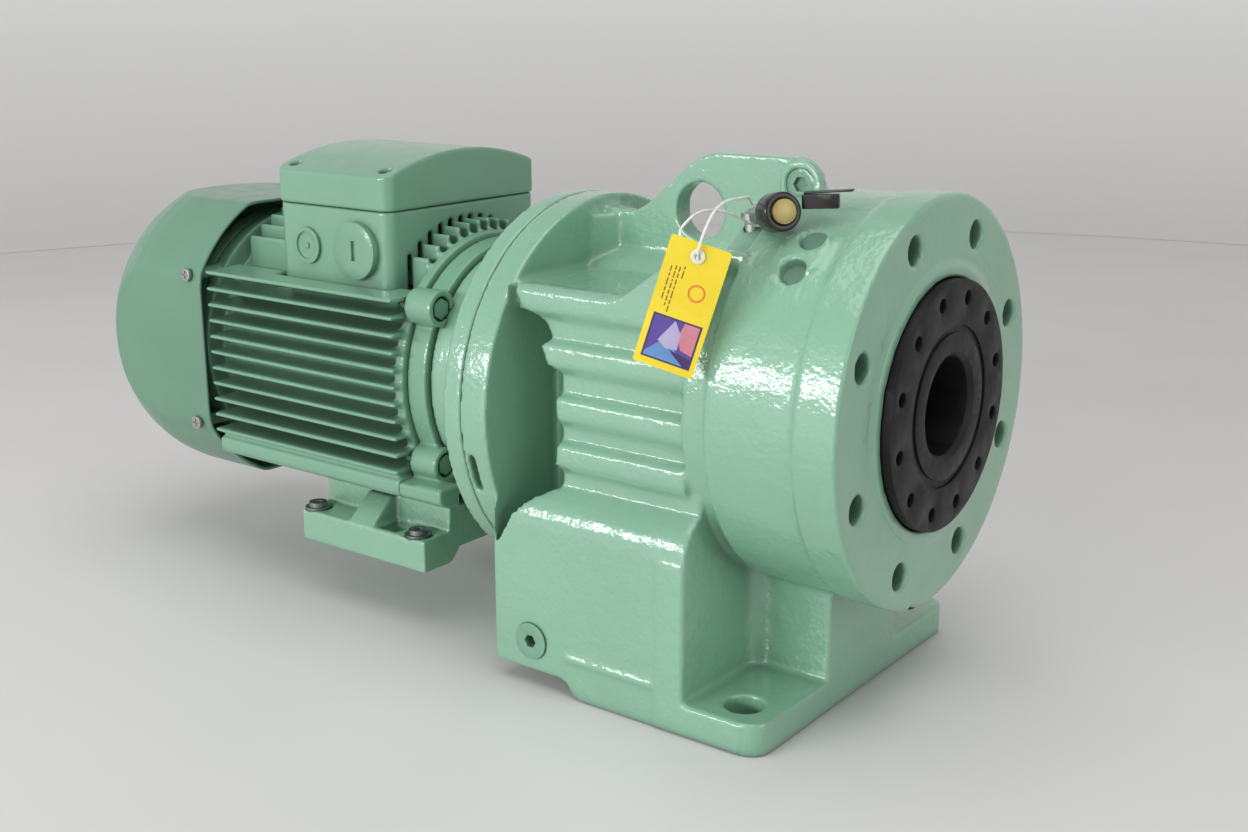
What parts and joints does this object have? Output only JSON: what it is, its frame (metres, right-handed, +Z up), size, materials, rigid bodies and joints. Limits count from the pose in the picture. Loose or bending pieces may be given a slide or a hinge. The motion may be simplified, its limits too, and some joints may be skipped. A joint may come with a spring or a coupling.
{
  "type": "helical gearmotor",
  "caption": "Foot-mounted helical gearmotor with a finned electric motor, a ribbed cast gearcase, a bolting flange and a flanged hollow output shaft.",
  "frame": {"origin": "centre of the four gearcase foot holes, on the floor plane", "axes": "+X along the shafts towards the output flange, +Z up from the foot"},
  "size_m": [0.707, 0.2741, 0.3348],
  "materials": {
    "green_paint": "semi-gloss paint over casting",
    "green_sheet": "semi-gloss paint on pressed sheet",
    "hub_black": "satin black",
    "gear_steel": "ground and oiled",
    "bearing_steel": "polished",
    "seal_rubber": "matte",
    "lamination": "stacked lamination",
    "cage_aluminium": "cast",
    "copper_winding": "enamelled wire",
    "screw_zinc": "zinc plated",
    "fan_plastic": "moulded",
    "board_plastic": "moulded",
    "stud_brass": "turned",
    "plug_green": "painted over",
    "vent_brass": "dull",
    "strap_rubber": "smooth",
    "tag_card": "laminated",
    "eyelet_plastic": "moulded",
    "string_white": "twisted cotton"
  },
  "bodies": {
    "base": {"gearcase": "green_paint", "output_bearings": "bearing_steel", "output_seal": "seal_rubber", "mid_bearing_front": "bearing_steel", "mid_bearing_rear": "bearing_steel", "input_bearing": "bearing_steel", "input_seal": "seal_rubber", "motor_flange": "green_paint", "flange_screws": "screw_zinc", "stator_core": "lamination", "windings": "copper_winding", "stator_frame": "green_paint", "drive_shield": "green_paint", "rear_shield": "green_paint", "shield_screws": "screw_zinc", "motor_bearings": "bearing_steel", "fan_cowl": "green_sheet", "cowl_screws": "screw_zinc", "terminal_box": "green_paint", "terminal_lid": "green_paint", "lid_screws": "screw_zinc", "terminal_board": "board_plastic", "terminal_studs": "stud_brass", "entry_plug_small": "plug_green", "entry_plug_large": "plug_green", "motor_feet": "green_paint", "foot_screws": "screw_zinc", "drain_plug": "plug_green", "pad_plugs": "plug_green", "boss_plug": "plug_green", "vent_stub": "screw_zinc", "vent_cap": "vent_brass", "vent_sleeve": "strap_rubber", "vent_strap": "strap_rubber", "tag_card": "tag_card", "tag_eyelet": "eyelet_plastic", "tag_string": "string_white"},
    "output": {"output_hub": "hub_black", "output_gear": "gear_steel", "output_key": "gear_steel"},
    "mid": {"mid_shaft": "gear_steel", "mid_gear": "gear_steel"},
    "rotor": {"motor_shaft": "gear_steel", "input_pinion": "gear_steel", "rotor_core": "lamination", "rotor_rings": "cage_aluminium", "fan": "fan_plastic"}
  },
  "joints": [
    {"name": "output_turn", "type": "hinge", "parent": "base", "child": "output", "pos_m": [0, 0, 0.195], "axis": [1, 0, 0], "continuous": true},
    {"name": "mid_turn", "type": "hinge", "parent": "base", "child": "mid", "pos_m": [0, 0, 0.1185], "axis": [1, 0, 0], "continuous": true},
    {"name": "rotor_turn", "type": "hinge", "parent": "base", "child": "rotor", "pos_m": [0, 0, 0.1725], "axis": [1, 0, 0], "continuous": true}
  ],
  "couplings": [
    {"joint": "mid_turn", "follows": "output_turn", "ratio": -3.25},
    {"joint": "rotor_turn", "follows": "output_turn", "ratio": 11.375}
  ]
}
